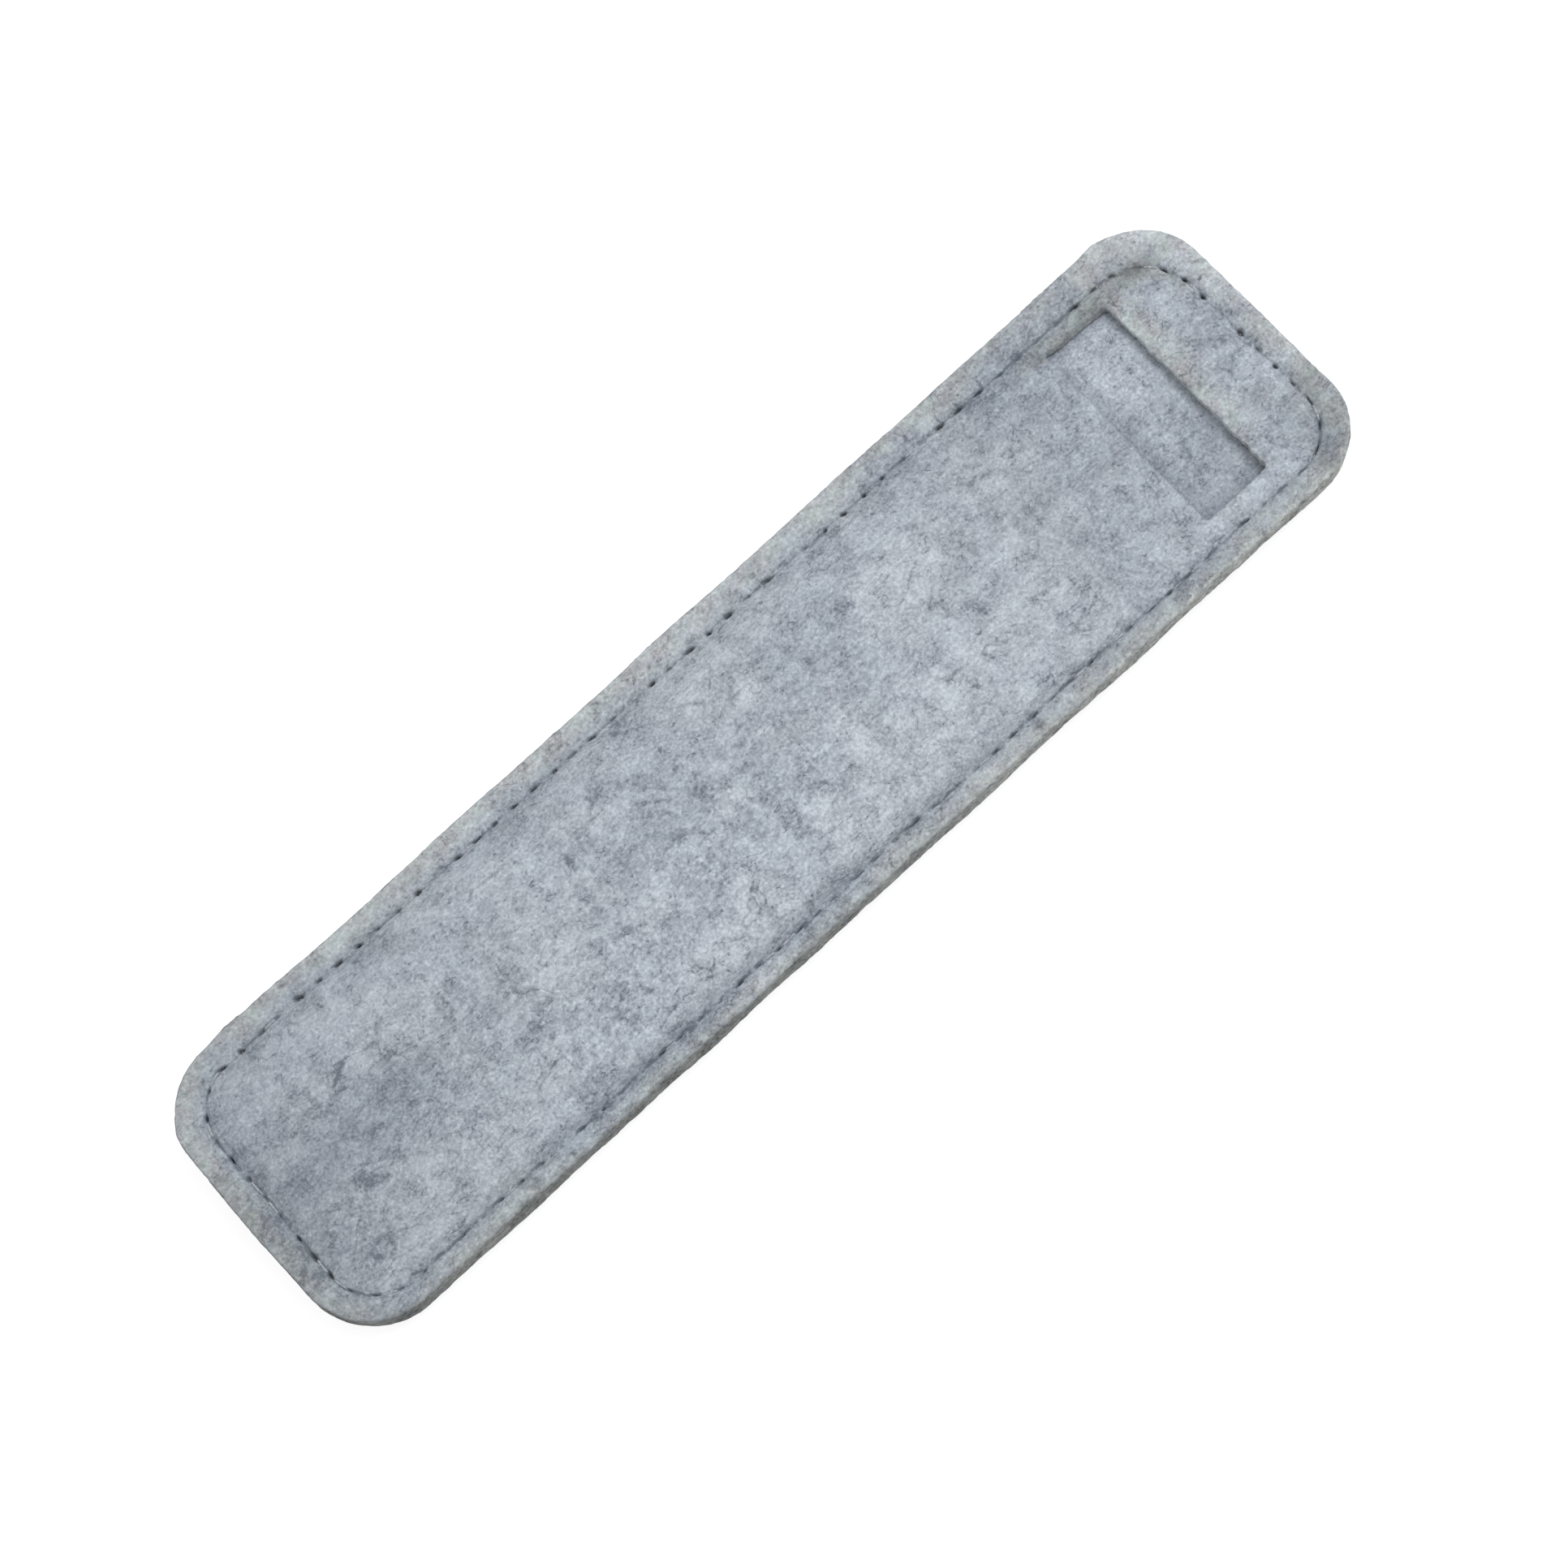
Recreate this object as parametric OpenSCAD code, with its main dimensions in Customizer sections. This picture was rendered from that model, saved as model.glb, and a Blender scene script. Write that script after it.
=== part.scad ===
// Felt pen sleeve: two felt panels joined by one lockstitched seam right round their edge.
// The pen goes in through a window cut in the front panel, near one end of the pocket.
// X runs along the sleeve towards the window, Y across it, and Z up from the surface it lies on.
// The origin is under the middle of the sleeve, on that surface.

/* [Outline] */
// Length of the sleeve
sleeve_l = 170; // [130:1:220]
// Width of the sleeve
sleeve_w = 43; // [38:1:60]
// Radius of the four cut corners
corner_r = 10.2; // [8:0.2:13]

/* [Felt] */
// Thickness of one felt panel
felt_t = 2; // [1.5:0.1:3]
// Height of each panel's inner face over the seam plane, at the middle of the pocket
pocket_rise = 2.8; // [2.3:0.1:4]
// Length over which the pocket closes towards the seam at each end
end_ramp_l = 24; // [18:1:34]
// Depth by which the back's belly is pressed flat where it rests
rest_flat = 0.2; // [0.1:0.05:0.5]

/* [Seam] */
// Distance from the cut edge to the stitch line
seam_inset = 3.4; // [2.8:0.1:4.5]
// Width of the channel that the stitches pull into the felt
channel_w = 1.4; // [1:0.1:2]
// Depth of that channel
channel_d = 0.45; // [0.3:0.05:0.7]
// Length of one stitch, from needle hole to needle hole
stitch_l = 3.25; // [2.5:0.05:4]
// Diameter of the sewing thread
thread_d = 0.5; // [0.3:0.05:0.6]

/* [Window] */
// Length of the window along the sleeve
window_l = 9.7; // [8:0.1:14]
// Felt left between the window and the stitches along each side
window_side = 3.2; // [2:0.1:6]
// Felt left between the window and the stitches across the end
window_end = 10; // [8:0.1:16]

/* [Hidden] */

// Smoothness of the small corners and threads, and of the wide shallow arches
$fn = 48;
arch_faces = 360;

// How far a cut runs past the face that it opens
overrun = 1;
// Felt held flat on the pocket's side of the stitches
seam_grip = 0.5;
// Gap between the ends of two stitches that share a needle hole
hole_gap = 0.5;
// Height that a stitch rises between its needle holes
stitch_rise = 0.25;
// Clearance between a thread and the walls of its channel
thread_gap = 0.02;
// How far the end ramps would climb past the arch, so that they cross it at an angle
ramp_lift = 0.3;

// The stitch line: a rounded rectangle inside the cut edge
seam_half_l = sleeve_l / 2 - seam_inset;
seam_half_w = sleeve_w / 2 - seam_inset;
seam_r = corner_r - seam_inset;
side_run = 2 * (seam_half_l - seam_r);
end_run = 2 * (seam_half_w - seam_r);
corner_run = seam_r * PI / 2;

// The window is as wide as the stitches along the sides allow
window_w = 2 * (seam_half_w - window_side);

// Whole stitches in each straight run and in each corner
side_stitches = round(side_run / stitch_l);
end_stitches = round(end_run / stitch_l);
corner_stitches = round(corner_run / stitch_l);

// The pocket's inner face: an arc across the sleeve, and a ramp down to the seam at each end
pocket_half_l = seam_half_l - seam_grip;
pocket_half_w = seam_half_w - seam_grip;
arch_r = (pow(pocket_half_w, 2) + pow(pocket_rise, 2)) / (2 * pocket_rise);
ramp_top = pocket_rise + ramp_lift;
ramp_r = (pow(end_ramp_l, 2) + pow(ramp_top, 2)) / (2 * ramp_top);
ramp_x = pocket_half_l - end_ramp_l;

// Heights: the seam plane, where the two panels meet, and the top of the front
seam_z = pocket_rise + felt_t - rest_flat;
crown_top = ramp_top + felt_t;

// Height of a thread's centre over the bottom of its channel
thread_r = thread_d / 2;
channel_slope = atan(channel_d / (channel_w / 2));
thread_seat = (thread_r + thread_gap) / cos(channel_slope);

// The sleeve's outline, moved in from the cut edge
module outline(inset) {
    half_l = sleeve_l / 2 - inset;
    half_w = sleeve_w / 2 - inset;
    r = corner_r - inset;
    square([2 * (half_l - r), 2 * half_w], center = true);
    square([2 * half_l, 2 * (half_w - r)], center = true);
    for (x = [-1, 1], y = [-1, 1])
        translate([x * (half_l - r), y * (half_w - r)])
            circle(r);
}

// Section across the pocket: one wide arc, grown outwards by the felt's thickness or not at all
module arch_section(grow) {
    intersection() {
        translate([0, pocket_rise - arch_r])
            circle(arch_r + grow, $fn = arch_faces);
        translate([-sleeve_w / 2, -overrun])
            square([sleeve_w, crown_top + 2 * overrun]);
    }
}

// Section along the pocket: level in the middle, with an arc down to the seam at each end
module ramp_section(grow) {
    intersection() {
        union() {
            translate([-ramp_x, -overrun])
                square([2 * ramp_x, ramp_top + grow + overrun]);
            for (end = [-1, 1])
                translate([end * ramp_x, ramp_top - ramp_r])
                    circle(ramp_r + grow, $fn = arch_faces);
        }
        translate([-sleeve_l / 2, -overrun])
            square([sleeve_l, crown_top + 2 * overrun]);
    }
}

// Space under the double-curved face of a panel, kept inside a moved-in outline
module crown(grow, inset) {
    intersection() {
        rotate([90, 0, 90])
            linear_extrude(sleeve_l, center = true)
                arch_section(grow);
        rotate([90, 0, 0])
            linear_extrude(sleeve_w, center = true)
                ramp_section(grow);
        translate([0, 0, -overrun])
            linear_extrude(crown_top + 2 * overrun)
                outline(inset);
    }
}

// The V that the thread pulls into the felt, open upwards
module channel_section() {
    reach = channel_d;
    half_w = channel_w / 2 * (channel_d + reach) / channel_d;
    polygon([[0, -channel_d], [half_w, reach], [-half_w, reach]]);
}

// What is drawn here goes to the centre of each corner of the stitch line, a quarter turn apart
module at_seam_corners() {
    for (quarter = [0 : 3])
        translate([
            sign(cos(90 * quarter + 45)) * (seam_half_l - seam_r),
            sign(sin(90 * quarter + 45)) * (seam_half_w - seam_r),
            0
        ])
            rotate([0, 0, 90 * quarter])
                children();
}

// A section swept right round the stitch line
module round_the_seam() {
    for (side = [-1, 1]) {
        translate([0, side * seam_half_w, 0])
            rotate([90, 0, 90])
                linear_extrude(side_run, center = true)
                    children();
        translate([side * seam_half_l, 0, 0])
            rotate([90, 0, 0])
                linear_extrude(end_run, center = true)
                    children();
    }
    at_seam_corners()
        rotate_extrude(angle = 90)
            translate([seam_r, 0])
                children();
}

// One felt panel on the seam plane: a flat margin, the raised pocket wall and the seam channel
module felt_panel() {
    difference() {
        union() {
            linear_extrude(felt_t)
                outline(0);
            intersection() {
                crown(felt_t, seam_inset);
                translate([-sleeve_l / 2, -sleeve_w / 2, felt_t / 2])
                    cube([sleeve_l, sleeve_w, crown_top]);
            }
        }
        crown(0, seam_inset + seam_grip / 2);
        translate([0, 0, felt_t])
            round_the_seam()
                channel_section();
    }
}

// One stitch: a shallow arc of thread from one needle hole to the next, along X
module stitch(pitch) {
    half_chord = (pitch - hole_gap) / 2;
    bend_r = (pow(half_chord, 2) + pow(stitch_rise, 2)) / (2 * stitch_rise);
    sweep = 2 * asin(half_chord / bend_r);
    translate([0, 0, felt_t - channel_d + thread_seat + stitch_rise - bend_r])
        rotate([90, 0, 0])
            rotate([0, 0, 90 - sweep / 2])
                rotate_extrude(angle = sweep)
                    translate([bend_r, 0])
                        circle(thread_r);
}

// All the stitches that show on one face, with whole stitches in every run and corner
module stitch_row() {
    side_pitch = side_run / side_stitches;
    end_pitch = end_run / end_stitches;
    corner_step = 90 / corner_stitches;
    for (side = [-1, 1]) {
        for (i = [0 : side_stitches - 1])
            translate([(i + 0.5 - side_stitches / 2) * side_pitch, side * seam_half_w, 0])
                stitch(side_pitch);
        for (i = [0 : end_stitches - 1])
            translate([side * seam_half_l, (i + 0.5 - end_stitches / 2) * end_pitch, 0])
                rotate([0, 0, 90])
                    stitch(end_pitch);
    }
    at_seam_corners()
        for (i = [0 : corner_stitches - 1])
            rotate([0, 0, (i + 0.5) * corner_step])
                translate([seam_r * cos(corner_step / 2), 0, 0])
                    rotate([0, 0, 90])
                        stitch(2 * seam_r * sin(corner_step / 2));
}

// Back felt panel: whole, and pressed flat underneath where it rests
module back_panel() {
    color([0.65, 0.68, 0.71])
        intersection() {
            translate([0, 0, seam_z])
                mirror([0, 0, 1])
                    felt_panel();
            translate([-sleeve_l, -sleeve_w, 0])
                cube([2 * sleeve_l, 2 * sleeve_w, seam_z + overrun]);
        }
}

// Front felt panel, with the window that the pen goes in through
module front_panel() {
    color([0.65, 0.68, 0.71])
        translate([0, 0, seam_z])
            difference() {
                felt_panel();
                translate([seam_half_l - window_end - window_l, -window_w / 2, -overrun])
                    cube([window_l, window_w, crown_top + 2 * overrun]);
            }
}

// Needle thread: the stitches on the front face
module needle_thread() {
    color([0.72, 0.74, 0.76])
        translate([0, 0, seam_z])
            stitch_row();
}

// Bobbin thread: the stitches on the back face, hole for hole under the others
module bobbin_thread() {
    color([0.72, 0.74, 0.76])
        translate([0, 0, seam_z])
            mirror([0, 0, 1])
                stitch_row();
}

back_panel();
front_panel();
needle_thread();
bobbin_thread();
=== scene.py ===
import math

import bpy
import numpy as np
from mathutils import Matrix, Vector, kdtree
from mathutils.geometry import delaunay_2d_cdt


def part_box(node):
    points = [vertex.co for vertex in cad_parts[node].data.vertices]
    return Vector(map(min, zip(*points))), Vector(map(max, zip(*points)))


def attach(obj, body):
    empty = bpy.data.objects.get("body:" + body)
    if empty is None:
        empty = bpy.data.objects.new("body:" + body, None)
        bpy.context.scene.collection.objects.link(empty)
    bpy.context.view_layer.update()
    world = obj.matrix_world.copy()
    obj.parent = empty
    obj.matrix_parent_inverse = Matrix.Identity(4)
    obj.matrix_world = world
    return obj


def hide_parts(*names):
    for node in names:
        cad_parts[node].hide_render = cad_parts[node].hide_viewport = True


# A felt pen sleeve lying on its back: two marled felt panels, sewn together right round their edge,
# with a window cut in the front. X runs along the sleeve towards the window, Y across it, Z up.
# Lengths are in millimetres, and MM turns them into metres where a mesh, lamp or camera is made.

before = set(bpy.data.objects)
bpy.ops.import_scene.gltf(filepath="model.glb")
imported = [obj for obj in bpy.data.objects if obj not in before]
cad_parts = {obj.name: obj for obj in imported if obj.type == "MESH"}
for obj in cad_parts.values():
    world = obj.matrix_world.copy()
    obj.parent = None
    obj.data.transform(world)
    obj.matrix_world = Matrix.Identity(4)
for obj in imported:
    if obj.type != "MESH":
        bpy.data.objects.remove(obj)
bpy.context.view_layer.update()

MM = 0.001

# What the frame gives: the outline's half sizes, the plane where the panels meet, and the top
front_low, front_high = (np.array(corner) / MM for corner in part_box("front_panel"))
HALF_L, HALF_W, TOP_Z = front_high
SEAM_Z = front_low[2]

# Felt
FELT_T = 2.0
RISE = TOP_Z - SEAM_Z - FELT_T
PARTING = 0.03

# Outline: the four corners run anticlockwise from the right-hand corner at the window end.
# Along the right-hand side the shears ran a little wide, by these amounts at the window end and toe,
# on the front, 1, and the back, -1.
WIDE_OF_LINE = {1: (0.27, 0.05), -1: (0.06, 0.08)}
OUTLINE_RADII = (9.3, 9.5, 9.8, 10.3)
OUTLINE_STEP = 0.5

# How far each line wanders, being guided by hand, on waves of these shares of its length, and over
# what length that fades out at its start and end
OUTLINE_WANDER, SEAM_WANDER, WINDOW_WANDER = 0.09, 0.1, 0.08
WANDER_SHARES = (0.12 / (2 * math.pi), 0.6 / (2 * math.pi))
WANDER_FADE = 10

# Where the shears were lifted and set again the cut has a slight corner: place, size and reach
SNIPS = (((76.0, HALF_W), 0.32, 3.5), ((-71.6, HALF_W), 0.28, 4.0), ((-84.0, 15.2), 0.25, 2.5))

# Stitch line: sewn by hand and eye, so a little further from one cut edge than from the other
SEAM_CORNERS = [(81.5, -18.7), (81.5, 17.2), (-81.2, 18.2), (-81.2, -18.8)]
SEAM_RADII = (7.2, 8.4, 7.2, 7.4)
STITCHES = 118
FIRST_HOLE = 14.4
HOLE_SLACK = 0.045

# Window
WINDOW_CORNERS = [(71.65, -15.35), (71.7, 14.7), (61.9, 15.3), (61.35, -15.5)]
WINDOW_RADII = (0.5, 0.7, 0.5, 0.6)
WINDOW_XS, WINDOW_YS = zip(*WINDOW_CORNERS)
WINDOW_NEAR, WINDOW_FAR = min(WINDOW_XS), max(WINDOW_XS)
WINDOW_RIGHT, WINDOW_LEFT = min(WINDOW_YS), max(WINDOW_YS)
WINDOW_STEP = 0.4
WALL_LEAN = 0.6

# The seam pulled into the felt: a valley, broad on the left and narrow on the right, a groove under
# the thread and a pit at each hole
VALLEY_DEPTH, VALLEY_LEFT_W, VALLEY_RIGHT_W, VALLEY_OUTER_W = 0.42, 2.1, 0.95, 0.9
GROOVE_DEPTH, GROOVE_W = 0.2, 0.27
PIT_DEPTH, PIT_L, PIT_W, PIT_SLANT = 1.0, 0.48, 0.19, 0.14

# Sewing thread: it dives into each hole, and some stitches have sunk until the felt covers them
THREAD_R = 0.19
THREAD_DIP, RISE_START, RISE_END = 1.5, 0.1, 1.0
SINK = 0.5
THREAD_STEP, THREAD_SIDES, THREAD_WANDER = 0.12, 12, 0.03
# Its three strands: how far they stand out round it, and the length of one turn
STRAND_R, STRAND_RISE, TWIST_L = 0.9, 0.12, 1.15
# How far a stitch shows: under 0 it is covered, and at the toe it shows a little more
SHOWING_RANGE, MORE_AT_TOE = (-0.5, 1.0), 0.12

# Ramps used more than once, by start and length: two along the sleeve, and two across it
TOE, TOE_TIP, TONE_LEFT, SEAM_LEFT = (-60, 15), (-62, 12), (-12, 24), (-10, 20)


def ease(share):
    """Rises smoothly from 0 to 1."""
    share = np.clip(share, 0, 1)
    return share * share * (3 - 2 * share)


def bell(distance):
    return np.exp(-distance * distance)


def above(values, start, reach):
    """Rises smoothly from 0 at start to 1 at a reach over it."""
    return ease((values - start) / reach)


def below(values, start, reach):
    """Rises smoothly from 0 at start to 1 at a reach under it."""
    return ease((start - values) / reach)


def near(values, middle, reach):
    """1 at middle, and fading on both sides over about that reach."""
    return bell((values - middle) / reach)


def mixed(share, start, end):
    """From start, at a share of 0, to end, at a share of 1."""
    return start + (end - start) * share


def waves(along, seed, size, lengths, count=6):
    """A smooth random line of about that size, made of waves of those lengths."""
    rng = np.random.default_rng(seed)
    total = np.zeros_like(along)
    for _ in range(count):
        length = rng.uniform(*lengths)
        total += np.sin(2 * np.pi * along / length + rng.uniform(0, 2 * np.pi))
    return total * size / math.sqrt(count)


def ripples(points, seed, size, lengths, count=14):
    """A smooth random surface of about that size."""
    rng = np.random.default_rng(seed)
    total = np.zeros(len(points))
    for _ in range(count):
        heading = rng.uniform(0, 2 * np.pi)
        across = points @ np.array([math.cos(heading), math.sin(heading)])
        total += np.sin(2 * np.pi * across / rng.uniform(*lengths) + rng.uniform(0, 2 * np.pi))
    return total * size / math.sqrt(count)


class Loop:
    """A four-sided outline with rounded corners, followed anticlockwise by the distance along it."""

    def __init__(self, corners, radii, wander, seed, snips=()):
        self.wander = wander
        self.seed = seed
        self.snips = snips
        corners = [np.array(c, float) for c in corners]
        arcs = []
        for k, radius in enumerate(radii):
            behind, here, ahead = corners[k - 1], corners[k], corners[(k + 1) % 4]
            inward = (here - behind) / np.linalg.norm(here - behind)
            onward = (ahead - here) / np.linalg.norm(ahead - here)
            turn = math.acos(np.clip(inward @ onward, -1, 1))
            reach = radius * math.tan(turn / 2)
            arcs.append((here - inward * reach, inward, radius, turn, here + onward * reach))
        self.length = 0.0
        self.pieces = []
        for k, (arc_start, heading, radius, turn, _) in enumerate(arcs):
            run_start = arcs[k - 1][-1]
            run = float(np.linalg.norm(arc_start - run_start))
            self.pieces.append((self.length, run, run_start, heading, 0.0))
            self.length += run
            self.pieces.append((self.length, radius * turn, arc_start, heading, radius))
            self.length += radius * turn

    def at(self, along):
        """Points on the loop, and the directions that point out of it there."""
        along = np.mod(np.asarray(along, float), self.length)
        points = np.zeros((len(along), 2))
        headings = np.zeros((len(along), 2))
        for start, length, origin, heading, radius in self.pieces:
            here = (along >= start) & (along <= start + length)
            past = (along[here] - start)[:, None]
            left = np.array([-heading[1], heading[0]])
            if radius:
                turn = past / radius
                points[here] = origin + radius * (np.sin(turn) * heading + (1 - np.cos(turn)) * left)
                headings[here] = np.cos(turn) * heading + np.sin(turn) * left
            else:
                points[here] = origin + past * heading
                headings[here] = heading
        normals = np.stack([headings[:, 1], -headings[:, 0]], axis=1)
        turns = waves(along / self.length, self.seed, self.wander, WANDER_SHARES, 8)
        fade = above(along, 0, WANDER_FADE) * below(along, self.length, WANDER_FADE)
        points = points + normals * (turns * fade)[:, None]
        for place, size, reach in self.snips:
            off = np.linalg.norm(points - np.array(place), axis=1)
            points = points + normals * (size * np.maximum(1 - off / reach, 0))[:, None]
        return points, normals

    def stations(self, step):
        count = round(self.length / step)
        return np.arange(count) * self.length / count


SEAM = Loop(SEAM_CORNERS, SEAM_RADII, SEAM_WANDER, seed=4)
WINDOW = Loop(WINDOW_CORNERS, WINDOW_RADII, WINDOW_WANDER, seed=9)


def needle_holes():
    """Distances of the needle holes along the seam, evenly fed with a little unevenness."""
    rng = np.random.default_rng(11)
    pitch = SEAM.length / STITCHES
    return FIRST_HOLE + (np.arange(STITCHES) + rng.uniform(-HOLE_SLACK, HOLE_SLACK, STITCHES)) * pitch


HOLES = needle_holes()


def from_hole(along):
    """Signed distance along the seam from the nearest needle hole, and that hole's number."""
    gaps = np.asarray(along)[:, None] - HOLES[None, :]
    gaps = (gaps + SEAM.length / 2) % SEAM.length - SEAM.length / 2
    nearest = np.abs(gaps).argmin(axis=1)
    return gaps[np.arange(len(gaps)), nearest], nearest


def stitch_at(along):
    """The number of the stitch that each place along the seam lies in, from hole to hole."""
    start = HOLES[0] - 0.5 * SEAM.length / STITCHES
    past = np.mod(np.asarray(along) - start, SEAM.length)
    return np.searchsorted(HOLES - start, past, "right") - 1


def showing():
    """How far each stitch stands out of the felt, from 0, covered, to 1: most at the toe."""
    rng = np.random.default_rng(17)
    middles = SEAM.at(HOLES + 0.5 * SEAM.length / STITCHES)[0]
    at_toe = below(middles[:, 0], *TOE)
    return np.clip(rng.uniform(*SHOWING_RANGE, STITCHES) + MORE_AT_TOE * at_toe, 0, 1)


SHOWING = showing()


def seam_stations():
    """Places along the seam: close together at each needle hole, wider along the stitch."""
    by_hole = np.array([-0.75, -0.55, -0.38, -0.24, -0.12, 0.0, 0.12, 0.24, 0.38, 0.55, 0.75])
    pitch = SEAM.length / STITCHES
    along_stitch = np.linspace(by_hole[-1], pitch - by_hole[-1], 6)[1:-1]
    from_each = np.concatenate([by_hole, along_stitch])
    return np.sort(np.mod((HOLES[:, None] + from_each).ravel(), SEAM.length))


STATIONS = seam_stations()
STATION_POINTS, STATION_NORMALS = SEAM.at(STATIONS)
STATION_TREE = kdtree.KDTree(len(STATIONS))
for number, (x, y) in enumerate(STATION_POINTS):
    STATION_TREE.insert((x, y, 0), number)
STATION_TREE.balance()


def seam_coordinates(points):
    """How far along the seam each point lies, and how far outside it (negative inside)."""
    nearest = np.array([STATION_TREE.find((x, y, 0))[1] for x, y in points])
    gap = points - STATION_POINTS[nearest]
    normal = STATION_NORMALS[nearest]
    heading = np.stack([-normal[:, 1], normal[:, 0]], axis=1)
    return STATIONS[nearest] + (gap * heading).sum(axis=1), (gap * normal).sum(axis=1)


# The crown: flat-topped across the sleeve, with a long shoulder inside the left-hand seam and a
# short one inside the right-hand seam
LEFT_SHOULDER_POWER, RIGHT_SHOULDER_POWER = 3.6, 13.0
TOE_RAMP_L, TOE_RAMP_POWER = 34.0, 1.8
MOUTH_RISE, MOUTH_RAMP_L, MOUTH_RAMP_POWER = 0.15, 9.0, 2.0
CLOSING_START, CLOSING_END = 18.0, 60.0


def crown(points):
    """Height of a panel's outer face over the seam plane, before the seam is pulled in."""
    x, y = points.T
    (mouth_x, right_y), (_, mouth_left_y), (toe_x, toe_left_y), _ = SEAM_CORNERS
    left_y = mouth_left_y + (mouth_x - x) / (mouth_x - toe_x) * (toe_left_y - mouth_left_y)
    middle = (left_y + right_y) / 2
    across = np.clip(np.abs(y - middle) / ((left_y - right_y) / 2), 0, 1)
    shoulder_power = np.where(y > middle, LEFT_SHOULDER_POWER, RIGHT_SHOULDER_POWER)
    toe = 1 - (1 - np.clip((x - toe_x) / TOE_RAMP_L, 0, 1)) ** TOE_RAMP_POWER
    mouth = 1 - (1 - np.clip((mouth_x - x) / MOUTH_RAMP_L, 0, 1)) ** MOUTH_RAMP_POWER
    body = below(x, CLOSING_END, CLOSING_END - CLOSING_START)
    rise = toe * (MOUTH_RISE * mouth + (RISE - MOUTH_RISE) * body)
    return FELT_T + rise * (1 - across**shoulder_power)


# Round the window the front's felt is pressed thinner, most towards the left, and the back's felt
# rises to meet it. Inside the window it pillows up further, over these lengths from each wall, and
# its underside is drawn up with it.
THIN_LEFT, THIN_RIGHT, THIN_L = 0.7, 0.35, 5.0
PILLOW, PILLOW_RIGHT_SHARE = 0.8, 0.3
FAR_L, NEAR_L, LEFT_L, RIGHT_L, RIGHT_RAMP_L = 3.0, 4.0, 2.6, 2.6, 12.0
NEAR_CLOSE_L = 2.6
DENT, DENT_START, DENT_L = 1.1, 3.0, 7.0
RIM_SINK, RIM_W, NEAR_SINK, NEAR_SINK_W = 0.15, 1.4, 0.22, 3.0
NEAR_EDGE_X = WINDOW_CORNERS[2][0] + 0.2


def thinning(points):
    """How far the parting between the panels rises round the window."""
    to_left = above(points[:, 1], -12, 22)
    return mixed(to_left, THIN_RIGHT, THIN_LEFT) * ease(1 - off_window(points) / THIN_L)


def level_share(points):
    """How far the floor and the near edge are at one height: all along it, apart from its right end."""
    return above(points[:, 1], -14, 4)


def rim_sink(points):
    """How far the front's outer face sinks towards the window."""
    off = off_window(points)
    short_of_it = (points[:, 0] < NEAR_EDGE_X) * below(points[:, 1], 14, 3) * level_share(points)
    return RIM_SINK * bell(off / RIM_W) + NEAR_SINK * short_of_it * bell(off / NEAR_SINK_W)


def pillow(points):
    """How far the back panel's inner face rises into the window over that."""
    x, y = points.T
    near_l = mixed(level_share(points), NEAR_L, NEAR_CLOSE_L)
    ends = below(x, WINDOW_FAR, FAR_L) * above(x, WINDOW_NEAR, near_l)
    sides = below(y, WINDOW_LEFT - WALL_LEAN, LEFT_L) * above(y, WINDOW_RIGHT, RIGHT_L)
    to_left = mixed(above(y, WINDOW_RIGHT, RIGHT_RAMP_L), PILLOW_RIGHT_SHARE, 1)
    return PILLOW * ends * sides * to_left


# The least distance outside the window at which a point lies on the front's felt
ON_FELT = -0.3


def cap(points, middle, reach):
    """Nearness to a line across the felt beyond the window, apart from its right end."""
    x, y = points.T
    return near(x, middle, reach) * (off_window(points) > ON_FELT) * (x > 71) * above(y, -13, 6)


def band(points, reach, start):
    """Nearness to the window's left edge, on the felt beside it, from start on."""
    x, y = points.T
    return near(y, 15, reach) * (off_window(points) > ON_FELT) * (y > 14) * above(x, start, 5)


def mouth_corner(points, outside, reach, along, across):
    """Nearness to the seam, inside it, in the left-hand corner beyond along and across."""
    inside = bell(outside / reach) * (outside < 0)
    return inside * above(points[:, 0], *along) * above(points[:, 1], *across)


def right_end(points):
    """The right-hand side of the end beyond the window."""
    return above(points[:, 0], 74, 5) * below(points[:, 1], -4, 8)


# How stained two places are, the most that felt can be, and how much cleaner two margins are
CAP_STAIN, RIGHT_END_STAIN, MOST_STAIN = 1.2, 0.5, 1.4
TOE_CLEANER, MOUTH_CLEANER = 0.45, 0.6


def stained(points, outside):
    """How far the felt has gone from blue to beige and olive: by the cut edges and round the window."""
    x, y = points.T
    margin = above(outside, -0.4, 3.2)
    margin *= 1 - TOE_CLEANER * below(x, *TOE) * below(y, 0, 8)
    margin *= 1 - MOUTH_CLEANER * above(x, 45, 15) * above(y, 10, 6)
    by_window = CAP_STAIN * cap(points, 71.9, 3.2) + band(points, 2.2, 56)
    corners = mouth_corner(points, outside, 2.6, (66, 8), (6, 6)) + RIGHT_END_STAIN * right_end(points)
    return np.clip(margin + by_window + corners, 0, MOST_STAIN)


# Patches where the fibres lie denser and darker, or paler, while the two at the toe's right-hand
# corner are painted shade: the middle, the half sizes along and across, and how much darker
CLOUDS = (
    ((-68, -1.5), (9, 4), 0.1), ((-79, -6), (6, 6), 0.14), ((-49.5, 14.5), (2.2, 2), 0.12),
    ((56, 10.3), (2.5, 1.5), 0.16), ((46, 1.5), (5, 4), 0.06), ((10, 7.5), (3, 5), 0.06),
    ((-43, -6.5), (5, 3), 0.06), ((63.3, 0.5), (1.4, 1.4), 0.12), ((-80, -14), (4, 4), 0.1),
    ((26, -9), (8, 6), -0.06), ((-61, 11.5), (8, 5), -0.05), ((-30, -11.5), (6, 4), -0.05),
)


def clouds(points):
    total = np.zeros(len(points))
    for middle, reach, darker in CLOUDS:
        off = (points - np.array(middle)) / np.array(reach)
        total += darker * bell(np.linalg.norm(off, axis=1))
    return total
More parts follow.
